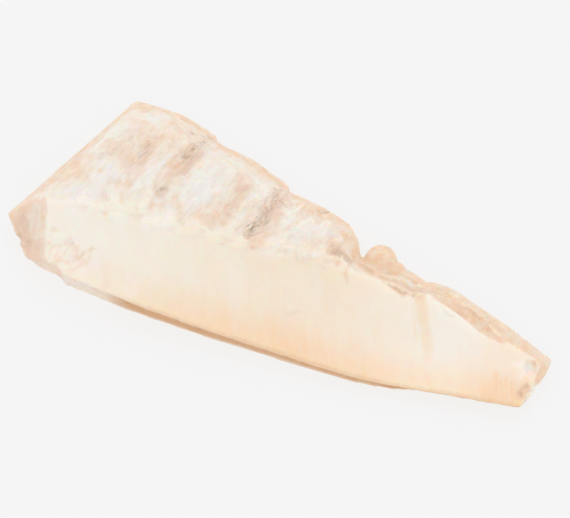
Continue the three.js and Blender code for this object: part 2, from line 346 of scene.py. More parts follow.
    # The peach rind along the broken edges, wider halfway up the broad end
    rind: tuple[Stroke, ...] = (
        Stroke(((-71.4, -12.1), (-64.0, 1.7), (-49.9, 27.9)), 5.0),
        Stroke(((-65.5, -3.4), (-61.0, -1.0), (-57.5, 3.0)), 6.4),
        Stroke(((-49.9, 27.9), (-45.5, 26.0)), 5.0),
        Stroke(((-46.0, 27.9), (-41.3, 28.0), (-33.7, 26.5), (-25.6, 23.7)), 4.6, 0.9),
        Stroke(((-45.5, 14.6), (-38.6, 15.3), (-33.6, 18.0)), 5.5, 0.6),
        Stroke(((-37.0, 21.0), (-30.0, 20.5)), 4.5, 0.7),
        Stroke(((-25.6, 23.7), (-15.6, 20.5), (-4.8, 16.3)), 6.0, 0.9),
        Stroke(((-3.0, 15.6), (4.9, 13.4), (12.5, 11.3), (15.7, 8.6), (18.3, 2.6)), 5.6, 0.95),
        Stroke(((6.0, 9.0), (12.5, 6.0), (15.0, 3.0)), 3.6, 0.8),
        Stroke(((18.3, 0.5), (24.0, 1.0), (34.0, 0.0), (45.4, -2.0), (54.7, -5.0), (66.0, -9.0)), 5.5),
        Stroke(((66.0, -9.0), (70.5, -11.0), (69.5, -15.5)), 3.5),
        Stroke(((23.6, 1.0), (24.2, 4.0)), 9.0),
        Stroke(((40.0, -4.0), (44.8, -5.4), (50.5, -7.6), (58.0, -10.2), (64.5, -11.2)), 3.6),
        Stroke(((0.3, 11.2), (3.0, 9.6)), 3.0, 0.9),
        Stroke(((-20.6, -2.0), (-16.6, 0.4)), 4.4, 0.75),
        Stroke(((18.0, -1.0), (27.0, -3.0), (33.7, -4.6), (38.0, -3.4)), 3.0, 0.9),
        Stroke(((-69.1, -11.8), (-67.1, -10.8)), 3.0),
        Stroke(((-60.8, -9.4), (-60.2, -15.2)), 2.0, 0.8),
    )
    # Brown-pink streaks of the broad end's facet, and the spots at the tip
    dusty: tuple[Stroke, ...] = (
        Stroke(((-67.5, -14.5), (-62.5, -19.5), (-60.5, -20.5)), 5.0),
        Stroke(((-66.0, -12.0), (-62.5, -16.5)), 3.8, 0.85),
        Stroke(((66.2, -20.1), (66.8, -19.2)), 2.2),
        Stroke(((58.0, -23.3), (64.0, -23.6)), 2.0, 0.5),
        Stroke(((66.8, -12.4), (67.7, -14.3)), 1.0, 0.5),
        Stroke(((-64.0, -10.5), (-62.6, -13.5)), 3.2, 0.8),
        Stroke(((50.6, -5.9), (54.6, -7.4)), 1.2, 0.4),
    )
    # Dried clay in the gashes, at the slab's corner and along the ledges
    clay: tuple[Stroke, ...] = (
        Stroke(((-27.6, 20.8), (-29.4, 17.0), (-31.2, 11.3)), 2.0, 0.4),
        Stroke(((-32.4, 20.6), (-28.9, 21.5), (-26.0, 21.2)), 0.9, 0.8),
        Stroke(((-33.3, 3.1), (-34.8, 1.3)), 1.3, 0.3),
        Stroke(((-6.4, 10.6), (-7.6, 4.4), (-9.2, -2.2)), 3.0, 0.45),
        Stroke(((12.4, -0.6), (15.5, -1.3)), 2.2, 0.7),
        Stroke(((-66.5, -15.2), (-63.0, -19.3)), 2.6, 0.6),
        Stroke(((25.3, -2.8), (29.7, -4.9), (33.7, -5.4), (37.6, -2.8)), 1.5, 0.4),
        Stroke(((18.2, -0.6), (20.0, -1.4), (23.0, -2.4)), 1.2, 0.5),
        Stroke(((44.8, -4.3), (49.4, -5.4), (54.6, -7.4)), 0.6, 0.4),
        Stroke(((40.5, -5.0), (42.9, -6.1), (44.8, -6.5)), 0.7, 0.4),
        Stroke(((66.0, -20.4), (66.8, -19.2)), 2.0),
        Stroke(((56.9, -8.2), (61.0, -8.9), (64.4, -8.8)), 0.8, 0.35),
        Stroke(((-45.3, 13.7), (-45.3, 12.1)), 0.6, 0.6),
        Stroke(((5.1, 10.7), (6.6, 12.2)), 1.2, 0.8),
        Stroke(((-7.8, 14.5), (-5.5, 13.7)), 1.2, 0.5),
        Stroke(((4.3, -17.3), (6.7, -15.9)), 0.9, 0.35),
    )
    # Orange flecks where the smooth face flakes away by the broad end
    flecks: tuple[Stroke, ...] = (
        Stroke(((-55.8, -18.8), (-52.4, -17.6)), 1.8, 0.6),
        Stroke(((-50.2, -19.8), (-48.2, -18.6)), 2.0, 0.8),
        Stroke(((-56.0, -21.4), (-51.0, -21.4), (-46.8, -20.4)), 2.6, 0.6),
        Stroke(((-53.4, -23.4), (-49.0, -23.2)), 1.4, 0.45),
    )
    # Dark hatching along the grain, with hairlines and specks
    cracks: tuple[Stroke, ...] = (
        Stroke(((-32.4, 20.4), (-28.9, 21.4), (-26.4, 21.2)), 0.6, 0.35),
        Stroke(((-28.2, 18.6), (-29.6, 15.4), (-31.0, 12.4)), 1.7, 0.7),
        Stroke(((-6.2, 9.6), (-7.4, 3.6), (-8.9, -1.4)), 3.2, 0.5),
        Stroke(((-8.2, 1.6), (-9.5, -2.3)), 2.4, 0.9),
        Stroke(((-40.4, 12.6), (-41.4, 7.6)), 1.6, 0.4),
        Stroke(((13.4, -1.0), (15.2, -1.4)), 1.5, 0.7),
        Stroke(((6.0, 11.4), (6.6, 12.0)), 0.5, 0.9),
        Stroke(((-33.4, 3.4), (-34.9, 1.3)), 0.9, 0.45),
        Stroke(((30.5, -5.2), (33.9, -5.6)), 0.6, 0.5),
    )
    # Stains across the smooth face: the vein, golden bands, and short streaks by the sharp edge
    stains: tuple[Stroke, ...] = (
        Stroke(((35.4, -5.6), (37.8, -10.1)), 2.3, 0.6),
        Stroke(((37.0, -8.6), (40.6, -16.0)), 2.3, 0.45),
        Stroke(((39.8, -14.0), (41.6, -19.0)), 2.2, 0.25),
        Stroke(((34.0, -6.7), (36.6, -12.9), (37.8, -15.5)), 0.6, 0.35),
        Stroke(((-15.2, -12.8), (-11.4, -19.5), (-7.7, -26.5)), 5.0, 0.25),
        Stroke(((26.4, -13.6), (29.5, -19.5)), 3.0, 0.25),
        Stroke(((18.0, -19.7), (20.5, -25.5)), 3.0, 0.25),
        Stroke(((58.6, -17.2), (61.4, -25.0)), 0.9, 0.8),
        Stroke(((60.2, -18.6), (62.5, -25.0)), 0.5, 0.7),
        Stroke(((61.3, -17.4), (63.6, -24.8)), 0.6, 0.7),
        Stroke(((62.8, -18.4), (65.0, -24.6)), 0.6, 0.8),
        Stroke(((39.0, -23.6), (40.1, -25.8)), 0.6, 0.5),
        Stroke(((42.8, -22.5), (44.2, -25.4)), 0.7, 0.5),
    )

    # How golden the smooth face is along the blade: all across it, and more so by the sharp edge, where the
    # extra gold is partly the stone's own tone and partly painted shade and glow
    gold_across: Course = (
        (-45.0, 0.0), (-30.0, 0.15), (-18.0, 0.28), (0.0, 0.42), (12.0, 0.45), (22.0, 0.3), (32.0, 0.2),
        (42.0, 0.0), (50.0, 0.0), (60.0, 0.3),
    )  # fmt: skip
    gold_by_edge: Course = ((-60.0, 0.15), (-40.0, 0.3), (-20.0, 0.5), (10.0, 0.5), (50.0, 0.5), (62.0, 0.7))
    # How much of the sharp edge gets the painted brown shade and glow, along the blade
    painted_edge_shade_course: Course = ((-58.0, 0.0), (-40.0, 0.3), (-30.0, 1.0))

    def above_face(self, points: np.ndarray) -> np.ndarray:
        """Measure how far points lie above the plane of the smooth face, straight up."""
        height, fall, rise = self.smooth_face
        x0, y0 = self.smooth_face_origin
        x, y, z = points.T
        return z - (height + (x - x0) * fall + (y - y0) * rise)


@dataclass
class Surface:
    """A mesh's points, normals and edges as arrays, in millimetres."""

    points: np.ndarray
    normals: np.ndarray
    pairs: np.ndarray

    @classmethod
    def of(cls, mesh: bpy.types.Mesh) -> Surface:
        """Read a mesh.

        Args:
            mesh: the mesh, in metres.

        Returns:
            Its surface.
        """
        count = len(mesh.vertices)
        points = np.empty(count * 3)
        normals = np.empty(count * 3)
        pairs = np.empty(len(mesh.edges) * 2, dtype=np.int64)
        mesh.vertices.foreach_get("co", points)
        mesh.vertices.foreach_get("normal", normals)
        mesh.edges.foreach_get("vertices", pairs)
        return cls(points.reshape(-1, 3) / MM, normals.reshape(-1, 3), pairs.reshape(-1, 2))

    def spread(self, values: np.ndarray, rounds: int) -> np.ndarray:
        """Even out a value over neighbouring points.

        Args:
            values: one value or one row for each point.
            rounds: how many times each point moves halfway to its neighbours' mean.

        Returns:
            The evened values.
        """
        columns = values.reshape(len(values), -1).copy()
        first, second = self.pairs.T
        count = len(columns)
        degree = np.bincount(first, minlength=count) + np.bincount(second, minlength=count)
        for _ in range(rounds):
            for column in columns.T:
                total = np.bincount(first, column[second], count) + np.bincount(second, column[first], count)
                column += 0.5 * (total / degree - column)
        return columns.reshape(values.shape)

    def sunk(self, rounds: int) -> np.ndarray:
        """Measure how far each point lies below the evened surface, in millimetres."""
        return np.einsum("ij,ij->i", self.spread(self.points, rounds) - self.points, self.normals)


def brushed(strokes: tuple[Stroke, ...], plan: np.ndarray, wobble: np.ndarray) -> np.ndarray:
    """Lay soft strokes whose edges wander.

    Args:
        strokes: the strokes.
        plan: points in plan, one row each.
        wobble: noise, about -1 to 1, that moves the strokes' edges.

    Returns:
        The strongest stroke's value at each point.
    """
    laid = np.zeros(len(plan))
    for stroke in strokes:
        wander = min(STROKE_WANDER * stroke.reach, STROKE_WANDER_MOST)
        gap = distance_to(stroke.path, plan) + wobble * wander
        laid = np.maximum(laid, stroke.strength * ease(gap, stroke.reach, STROKE_CORE * stroke.reach))
    return laid


# Finishes


@dataclass(frozen=True)
class Cloud:
    """A noise pattern of a material.

    It has a size in millimetres, and low and high are the noise values that become 0 and 1. Its grain runs
    in the direction that degrees gives, and is ratio times as long as it is wide.
    """

    size_mm: float
    detail: float
    low: float
    high: float
    degrees: float = 0.0
    ratio: float = 1.0
    roughness: float = 0.55


@dataclass(frozen=True)
class Layer:
    """A colour laid over the ones before it.

    It shows where its marking does, up to most, and a pattern may break it up by the share depth.
    """

    tint: str
    where: bpy.types.NodeSocket
    most: float = 1.0
    breaks: bpy.types.NodeSocket | None = None
    depth: float = 0.0


@dataclass(frozen=True)
class MilkySelenite:
    """Selenite, the coarse clear form of gypsum, here full of milky veils.

    Light sinks some millimetres in and comes back cream, so edges glow and shadows stay soft. The cleaved
    face is silky. Where sheets are torn the surface is a dry white frost, and clay has dried in the cracks.
    """

    body: str = "F8F2E7"
    veil: str = "F9F3EA"
    warm: str = "F6DBBA"
    # A painted colour: the warm brown shadow under the sharp edge, with the glow of light through the thin
    # edge
    edge: str = "D7A67A"
    rind: str = "F8E0CA"
    rind_deep: str = "F3CFAD"
    hollow: str = "F1D6C2"
    frost: str = "FDF3EE"
    clay: str = "D3B79B"
    grit: str = "8C7660"
    fleck: str = "EDC8A4"
    smooth_roughness: float = 0.34
    torn_roughness: float = 0.68
    ior: float = 1.52
    # How deep light sinks in, how much of that each of red, green and blue goes, and its forward scatter
    smooth_glow_mm: float = 4.0
    torn_glow_mm: float = 1.4
    glow_reach: tuple[float, float, float] = (1.0, 0.66, 0.42)
    glow_forward: float = 0.2
    # The fine roughness of the torn sheets and of the silky face: strength and height
    torn_bump: float = 0.9
    torn_bump_mm: float = 0.2
    silk_bump: float = 0.2
    silk_bump_mm: float = 0.05
    veils: Cloud = Cloud(14.0, 4.0, 0.36, 0.66)
    silk: Cloud = Cloud(1.5, 3.0, 0.4, 0.64, -70.0, 9.0)
    flakes: Cloud = Cloud(1.1, 5.0, 0.36, 0.66, 62.0, 2.4)
    hatching: Cloud = Cloud(0.5, 2.0, 0.44, 0.7, 62.0, 3.6)
    patches: Cloud = Cloud(2.4, 5.0, 0.4, 0.62)

    def material(self) -> bpy.types.Material:
        """Build the material.

        Returns:
            The material.
        """
        made = bpy.data.materials.new("milky_selenite_cleaved")
        made.use_nodes = True
        tree = made.node_tree
        tree.nodes.clear()
        trace = {
            kind: add_node(tree, "ShaderNodeAttribute", {"attribute_name": kind.value}).outputs["Fac"]
            for kind in Trace
        }
        place = add_node(tree, "ShaderNodeTexCoord").outputs["Object"]
        veils, silk, flakes, hatching, patches = (
            self.pattern(tree, place, cloud)
            for cloud in (self.veils, self.silk, self.flakes, self.hatching, self.patches)
        )
        layers = (
            Layer(self.veil, veils, 0.8),
            Layer(self.warm, trace[Trace.WARMTH]),
            Layer(self.veil, silk, 0.16),
            Layer(self.rind, trace[Trace.RIND]),
            Layer(self.rind_deep, trace[Trace.RIND], 0.7, patches, 1.0),
            Layer(self.frost, trace[Trace.FROST], 1.0, flakes, 0.3),
            Layer(self.hollow, trace[Trace.HOLLOW], 1.0, flakes, 0.4),
            Layer(self.fleck, trace[Trace.FLECK], 0.65, flakes, 0.9),
            Layer(self.clay, trace[Trace.CLAY], 0.9, patches, 0.4),
            # The painted shade and glow along the sharp edge and its wall
            Layer(self.edge, trace[Trace.PAINTED_EDGE_SHADE]),
            Layer(self.grit, trace[Trace.CRACK], 0.75, hatching, 1.0),
        )
        roughness = add_node(
            tree,
            "ShaderNodeMapRange",
            values={"To Min": self.smooth_roughness, "To Max": self.torn_roughness},
            links={"Value": trace[Trace.DRY]},
        )
        glow = add_node(
            tree,
            "ShaderNodeMapRange",
            values={"To Min": self.smooth_glow_mm * MM, "To Max": self.torn_glow_mm * MM},
            links={"Value": trace[Trace.DRY]},
        )
        torn_height = add_node(tree, "ShaderNodeMath", TIMES, links={0: flakes, 1: trace[Trace.DRY]})
        torn = add_node(
            tree,
            "ShaderNodeBump",
            values={"Strength": self.torn_bump, "Distance": self.torn_bump_mm * MM},
            links={"Height": torn_height.outputs[0]},
        )
        silky = add_node(
            tree,
            "ShaderNodeBump",
            values={"Strength": self.silk_bump, "Distance": self.silk_bump_mm * MM},
            links={"Height": silk, "Normal": torn.outputs["Normal"]},
        )
        shader = add_node(
            tree,
            "ShaderNodeBsdfPrincipled",
            settings={"subsurface_method": "RANDOM_WALK"},
            values={
                "IOR": self.ior,
                "Subsurface Weight": 1.0,
                "Subsurface Radius": self.glow_reach,
                "Subsurface Anisotropy": self.glow_forward,
            },
            links={
                "Base Color": self.layered(tree, layers),
                "Roughness": roughness.outputs["Result"],
                "Subsurface Scale": glow.outputs["Result"],
                "Normal": silky.outputs["Normal"],
            },
        )
        add_node(tree, "ShaderNodeOutputMaterial", links={"Surface": shader.outputs["BSDF"]})
        return made

    def layered(self, tree: bpy.types.NodeTree, layers: tuple[Layer, ...]) -> bpy.types.NodeSocket:
        """Lay the colours over the body colour, first to last.

        Args:
            tree: the material's tree.
            layers: the colours.

        Returns:
            The finished colour.
        """
        colour = add_node(tree, "ShaderNodeRGB").outputs[0]
        colour.default_value = linear(self.body)
        for layer in layers:
            share = add_node(tree, "ShaderNodeMath", TIMES, {1: layer.most}, {0: layer.where})
            if layer.breaks is not None:
                gaps = add_node(
                    tree,
                    "ShaderNodeMath",
                    {"operation": "MULTIPLY_ADD"},
                    {1: layer.depth, 2: 1.0 - layer.depth},
                    {0: layer.breaks},
                )
                factors = {0: share.outputs[0], 1: gaps.outputs[0]}
                share = add_node(tree, "ShaderNodeMath", TIMES, links=factors)
            mixed = add_node(
                tree,
                "ShaderNodeMix",
                {"data_type": "RGBA"},
                {7: linear(layer.tint)},
                {0: share.outputs[0], 6: colour},
            )
            colour = mixed.outputs[2]
        return colour

    @staticmethod
    def pattern(
        tree: bpy.types.NodeTree, place: bpy.types.NodeSocket, cloud: Cloud
    ) -> bpy.types.NodeSocket:
        """Add a noise pattern that runs along its grain, stretched over 0 to 1.

        Args:
            tree: the material's tree.
            place: the place on the blade, in metres.
            cloud: the pattern.

        Returns:
            The pattern's value.
        """
        grained = add_node(
            tree,
            "ShaderNodeMapping",
            {"vector_type": "TEXTURE"},
            {"Rotation": (0.0, 0.0, math.radians(cloud.degrees)), "Scale": (cloud.ratio, 1.0, 1.0)},
            {"Vector": place},
        )
        noisy = add_node(
            tree,
            "ShaderNodeTexNoise",
            values={"Scale": 1 / (cloud.size_mm * MM), "Detail": cloud.detail, "Roughness": cloud.roughness},
            links={"Vector": grained.outputs["Vector"]},
        )
        ranged = add_node(
            tree,
            "ShaderNodeMapRange",
            {"interpolation_type": "SMOOTHSTEP"},
            {"From Min": cloud.low, "From Max": cloud.high},
            {"Value": noisy.outputs["Fac"]},
        )
        return ranged.outputs["Result"]


@dataclass(frozen=True)
class BacklitTable:
    """A matt smoked acrylic sheet, lit evenly from below.

    The light hides the tint, so the sheet looks white, and shadows on it stay faint and warm.
    """

    colour: str = "5A6A7E"
    glow: str = "FBF5ED"
    glow_strength: float = 0.84
    roughness: float = 0.9
    specular: float = 0.1

    def material(self) -> bpy.types.Material:
        """Build the sheet's material.

        Returns:
            The material.
        """
        made = bpy.data.materials.new("smoked_acrylic_backlit")
        made.use_nodes = True
        shader = made.node_tree.nodes["Principled BSDF"]
        shader.inputs["Base Color"].default_value = linear(self.colour)
        shader.inputs["Roughness"].default_value = self.roughness
        shader.inputs["Specular IOR Level"].default_value = self.specular
        shader.inputs["Emission Color"].default_value = linear(self.glow)
        shader.inputs["Emission Strength"].default_value = self.glow_strength
        return made


# The crystal


@dataclass(frozen=True)
class ZoneLimits:
    """Where one kind of surface passes into the next.

    Distances are in millimetres. A direction is a cosine, to the smooth face's own or to straight up.
    """

    off_face: Ramp = (0.7, 0.25)
    along_face: Ramp = (0.8, 0.93)
    turned_under: Ramp = (-0.25, -0.6)
    near_back: Ramp = (0.35, 0.1)
    rough_upward: Ramp = (-0.3, 0.3)
    inside_edge: Ramp = (1.8, 5.0)
    fibrous_upward: Ramp = (0.1, 0.5)
    rim_change: float = 2.5


@dataclass(frozen=True)
class Wear:
    """How far each kind of surface is worn, from 0 to 1, and by how many rounds of evening."""

    rounds: int = 36
    fill_rounds: int = 110
    torn: float = 0.95
    fibrous: float = 0.5
    sides: float = 0.4
    from_back: Ramp = (0.5, 3.0)


@dataclass(frozen=True)
class Relief:
    """The fine relief: its noises, and how far each raises or sinks the surface, in millimetres."""

    wobble: Drift = Drift((3.0, 3.0, 3.0), 3, 2.2)
    ragged: tuple[Drift, Drift] = (Drift((5.0, 5.0, 5.0), 4, 70.3), Drift((5.0, 5.0, 5.0), 4, 83.9))
    ragged_shift: float = 1.6
    # The torn side: swells, flakes in low terraces and grit, with soft hollows and crushed crests
    swells: Drift = Drift((8.0, 5.0, 5.0), 2, 14.2)
    swell_height: float = 0.22
    flakes: Drift = Drift((3.4, 1.2, 2.4), 4, 3.7)
    flake_height: float = 0.17
    flake_tread: float = 0.09
    flake_flat: float = 0.6
    grit: Drift = Drift((1.1, 0.7, 1.0), 2, 11.0)
    grit_height: float = 0.04
    hollow_depth: float = 0.3
    crushed_height: float = 0.12
    # The rim: fibres, which leave the round knob bare, and the least relief of the sides beside the knob
    fibres: Drift = Drift((7.0, 1.0, 2.2), 4, 8.8)
    fibre_height: float = 0.17
    bare_knob: float = 0.6
    knob_sides: float = 0.25
    # The broken edges: thin bent layers, no two alike, with dents and chips
    bend: Drift = Drift((12.0, 12.0, 9.0), 3, 5.1)
    bend_height: float = 1.1
    layer_height: float = 0.9
    layer_apart: float = 34.4
    layers: Drift = Drift((6.0, 6.0, 8.0), 3, 7.7)
    layer_depth: float = 0.1
    dents: Drift = Drift((4.0, 4.0, 4.0), 4, 61.0)
    dent_depth: float = 0.16
    chips: Drift = Drift((3.4, 3.4, 2.2), 3, 19.0)
    chip_depth: float = 0.5
    chip_from: float = 0.25
    # The smooth face: faint waves
    waves: Drift = Drift((16.0, 16.0, 16.0), 3, 1.3)
    wave_height: float = 0.05
    from_back: Ramp = (0.2, 1.2)


@dataclass(frozen=True)
class Grain:
    """The two noises that break the markings up, at each point."""

    blotch: np.ndarray
    fine: np.ndarray

    def mixed(self, shares: tuple[float, float]) -> np.ndarray:
        """Add the blotches and the fine grain in the shares given."""
        return shares[0] * self.blotch + shares[1] * self.fine


@dataclass(frozen=True)
class Colouring:
    """How the markings spread: their noises, the ends of their fades, and their strengths.

    Distances are in millimetres. What wanders or mixes holds the shares of the blotches and the fine grain.
    """

    clouds: Drift = Drift((22.0, 5.0, 12.0), 3, 41.0)
    blotch: Drift = Drift((7.0, 7.0, 7.0), 4, 23.0)
    fine: Drift = Drift((3.0, 1.4, 2.0), 4, 31.0)
    # Gold in the smooth face, with clouds in it and stains over it
    gold_reach: Ramp = (11.0, 0.5)
    gold_clouds: float = 0.14
    gold_under_stain: float = 0.4
    stain_wander: tuple[float, float] = (0.0, 0.3)
    # Painted shade along the sharp edge and on the wall under it: a warm brown that stands for the contact
    # shadow and the glow of light through the thin edge, paler at the wall's foot
    painted_edge_shade_strength: float = 0.45
    painted_edge_shade_reach: Ramp = (1.3, 0.2)
    painted_edge_shade_wander: float = 0.3
    painted_wall_shade_reach: Ramp = (3.0, 1.0)
    painted_wall_shade_upward: Ramp = (0.5, 0.2)
    painted_wall_shade_start: Ramp = (-44.0, -33.0)
    painted_wall_shade_foot: float = 0.4
    painted_wall_shade_rise: Ramp = (0.3, 2.6)
    # The torn side's mottling, and its rind
    torn_wander: tuple[float, float] = (0.6, 0.7)
    mottle_mix: tuple[float, float] = (0.7, 0.5)
    mottle: Ramp = (-0.35, 0.45)
    side_rind: float = 0.85
    torn_rind: float = 0.5
    # Where the surface is sunk it is brown, where it stands proud it is frosted
    sunk_rounds: int = 24
    sunk_wander: float = 0.06
    sunk: Ramp = (0.0, 0.25)
    sunk_hollow: float = 0.4
    hollow_plain: float = 0.75
    hollow_mottled: float = 0.45
    proud: Ramp = (0.0, 0.2)
    proud_frost: float = 0.5
    plain_frost: float = 0.25
    crushed_mottled: float = 0.25
    hollow_clears: float = 0.7
    # Clay gathers in what is sunk
    clay_wander: float = 0.14
    clay_sunk: Ramp = (-0.15, 0.12)
    clay_least: float = 0.35
    crack_wander: tuple[float, float] = (0.0, 0.9)
    fleck_wander: tuple[float, float] = (0.8, 1.6)


@dataclass
class SeleniteBlade:
    """The blade's visible skin, worked over a fine even copy of its solid, in millimetres."""

    plan: BladePlan = BladePlan()
    finish: MilkySelenite = MilkySelenite()
    limits: ZoneLimits = ZoneLimits()
    wear: Wear = Wear()
    relief: Relief = Relief()
    colouring: Colouring = Colouring()
    weld: float = 0.005
    mesh_pitch: float = 0.366
    # The flat back: how low it lies, how squarely it faces down, and the share of its points that is kept
    back_height: float = 0.05
    back_upward: float = -0.99
    back_kept: float = 0.06
    # Rounds of evening that blur where zones meet
    light_blur: int = 2
    blur: int = 3
    wide_blur: int = 4

    def build(self) -> bpy.types.Object:
        """Build the finished blade.

        Returns:
            The blade's object, at the origin.
        """
        mesh = self.fine_mesh()
        surface = Surface.of(mesh)
        zones = self.zones(surface)
        surface = self.soften(mesh, surface, zones)
        self.carve(mesh, surface, zones)
        self.mark(mesh, surface, zones)
        mesh.materials.clear()
        mesh.materials.append(self.finish.material())
        return placed("blade_skin", mesh)

    def fine_mesh(self) -> bpy.types.Mesh:
        """Copy the solid and give it small, even faces, with larger ones on the flat underside.

        Returns:
            The new mesh, in metres.
        """
        shell = bmesh.new()
        shell.from_mesh(bpy.data.objects["selenite_blade"].data)
        bmesh.ops.remove_doubles(shell, verts=shell.verts, dist=self.weld * MM)
        copied = bpy.data.meshes.new("blade_copy")
        shell.to_mesh(copied)
        shell.free()
        holder = placed("blade_copy", copied)
        remesh = holder.modifiers.new("even", "REMESH")
        remesh.mode = "VOXEL"
        remesh.voxel_size = self.mesh_pitch * MM
        even = self.applied(holder)

        surface = Surface.of(even)
        low = surface.points[:, 2] < self.back_height
        flat = np.flatnonzero(low & (surface.normals[:, 2] < self.back_upward))
        group = holder.vertex_groups.new(name="flat_back")
        group.add(flat.tolist(), 1.0, "REPLACE")
        thin = holder.modifiers.new("thin", "DECIMATE")
        thin.ratio = 1.0 - (1.0 - self.back_kept) * len(flat) / len(even.vertices)
        thin.vertex_group = group.name
        mesh = self.applied(holder)
        self.drop_crumbs(mesh)
        mesh.name = "blade_skin"
        mesh.shade_smooth()
        bpy.data.objects.remove(holder)
        return mesh

    @staticmethod
    def applied(holder: bpy.types.Object) -> bpy.types.Mesh:
        """Put an object's modifiers into its mesh and clear them.

        Args:
            holder: the object.

        Returns:
            Its new mesh.
        """
        evaluated = holder.evaluated_get(bpy.context.evaluated_depsgraph_get())
        mesh = bpy.data.meshes.new_from_object(evaluated)
        holder.modifiers.clear()
        holder.data = mesh
        return mesh

    @staticmethod
    def drop_crumbs(mesh: bpy.types.Mesh) -> None:
        """Keep the one body that the topmost point belongs to.

        Args:
            mesh: the mesh, changed in place.
        """
        shell = bmesh.new()
        shell.from_mesh(mesh)
        front = {max(shell.verts, key=lambda point: point.co.z)}
        reached = set(front)
        while front:
            front = {edge.other_vert(point) for point in front for edge in point.link_edges} - reached
            reached |= front
        crumbs = [point for point in shell.verts if point not in reached]
        bmesh.ops.delete(shell, geom=crumbs, context="VERTS")
        shell.to_mesh(mesh)
        shell.free()

    def zones(self, surface: Surface) -> Zones:
        """Tell the smooth face, the rough side, the rim and the edges apart.

        Args:
            surface: the blade's surface.

        Returns:
            How much each point belongs to each zone, from 0 to 1.
        """
        limits = self.limits
        x, _, z = surface.points.T
        plan = surface.points[:, :2]
        upward = surface.normals[:, 2]

        _, fall, rise = self.plan.smooth_face
        facing = np.array([-fall, -rise, 1.0]) / math.sqrt(1 + fall * fall + rise * rise)
        in_plane = ease(np.abs(self.plan.above_face(surface.points)), *limits.off_face)
        smooth = surface.spread(in_plane * ease(surface.normals @ facing, *limits.along_face), self.blur)
        under = np.maximum(ease(upward, *limits.turned_under), ease(z, *limits.near_back))
        rest = (1 - smooth) * (1 - under)

        to_edge = np.minimum(distance_to(self.plan.outer_edge, plan), distance_to(self.plan.broad_end, plan))
        along_rim = ease(x, self.plan.rim_starts, self.plan.rim_starts + limits.rim_change)
        rough = surface.spread(rest * ease(upward, *limits.rough_upward), self.wide_blur)
        torn = rough * ease(to_edge, *limits.inside_edge) * (1 - along_rim)
        fibrous = surface.spread(rest * ease(upward, *limits.fibrous_upward) * along_rim, self.blur)
        return {
            Zone.SMOOTH: smooth,
            Zone.TORN: torn,
            Zone.FIBROUS: fibrous,
            Zone.SIDES: rest * (1 - torn) * (1 - fibrous),
        }

    def ragged(self, points: np.ndarray) -> np.ndarray:
        """Shift points in plan by a millimetre or two, so that what follows a path gets a torn outline."""
        shifts = [drift.at(points) for drift in self.relief.ragged]
        return points[:, :2] + self.relief.ragged_shift * np.stack(shifts, axis=1)

    def soften(self, mesh: bpy.types.Mesh, surface: Surface, zones: Zones) -> Surface:
        """Wear the torn side, the rim and the broken edges down, and leave the smooth face crisp.

        Args:
            mesh: the fine mesh, changed in place.
            surface: the mesh's surface.
            zones: how much each point belongs to each zone.

        Returns:
            The worn surface.
        """
        wear, points = self.wear, surface.points
        worn = surface.spread(points, wear.rounds)
        levelled = surface.spread(worn, wear.fill_rounds)
        filled = brushed(self.plan.filled, points[:, :2], np.zeros(len(points)))
        fill = surface.spread(filled, self.light_blur)[:, None]
        share = wear.torn * zones[Zone.TORN] + wear.fibrous * zones[Zone.FIBROUS]
        share += wear.sides * zones[Zone.SIDES]
        share = np.maximum(share, fill[:, 0] * (1 - zones[Zone.SMOOTH])) * ease(points[:, 2], *wear.from_back)
        share = surface.spread(share, self.wide_blur)[:, None]
        moved = points + (worn + (levelled - worn) * fill - points) * share
        mesh.vertices.foreach_set("co", (moved * MM).ravel())
        mesh.update()
        return Surface.of(mesh)

    def carve(self, mesh: bpy.types.Mesh, surface: Surface, zones: Zones) -> None:
        """Work torn sheets, fibres, thin layers and faint waves into the surface, inside the solid's box.

        Args:
            mesh: the fine mesh, changed in place.
            surface: the mesh's surface before it is worked.
            zones: how much each point belongs to each zone.
        """
        relief, points = self.relief, surface.points
        grained = turned(points, self.plan.torn_grain)
        ragged = self.ragged(points)
        wobble = relief.wobble.at(points)

        sheets = relief.swells.at(points) * relief.swell_height
        flakes = relief.flakes.at(grained) * relief.flake_height
        sheets += terraced(flakes, relief.flake_tread, relief.flake_flat)
        sheets += relief.grit.at(grained) * relief.grit_height
        sheets -= relief.hollow_depth * brushed(self.plan.hollows, ragged, wobble)
        sheets += relief.crushed_height * brushed(self.plan.crushed, ragged, wobble)
        fibres = relief.fibres.at(turned(points, self.plan.rim_grain)) * relief.fibre_height
        level = points[:, 2] + relief.bend_height * relief.bend.at(points)
        layer = np.floor(level / relief.layer_height)
        shelf = np.stack([points[:, 0], points[:, 1], layer * relief.layer_apart], axis=1)
        layers = relief.layers.at(shelf) * relief.layer_depth
        layers += relief.dents.at(points) * relief.dent_depth
        chips = -relief.chip_depth * np.clip(relief.chips.at(points) - relief.chip_from, 0, 1)
        waves = relief.waves.at(points) * relief.wave_height

        x, y, radius = self.plan.knob
        off_knob = ease(np.hypot(points[:, 0] - x, points[:, 1] - y), relief.bare_knob * radius, radius)
        sides = at_least(relief.knob_sides, off_knob) * zones[Zone.SIDES]
        push = zones[Zone.TORN] * sheets + zones[Zone.FIBROUS] * off_knob * fibres
        push += sides * (layers + chips) + zones[Zone.SMOOTH] * waves
        push *= ease(points[:, 2], *relief.from_back)
        low, high = (np.array(corner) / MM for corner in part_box("selenite_blade"))
        moved = np.clip(points + surface.normals * push[:, None], low, high)
        mesh.vertices.foreach_set("co", (moved * MM).ravel())
        mesh.update()

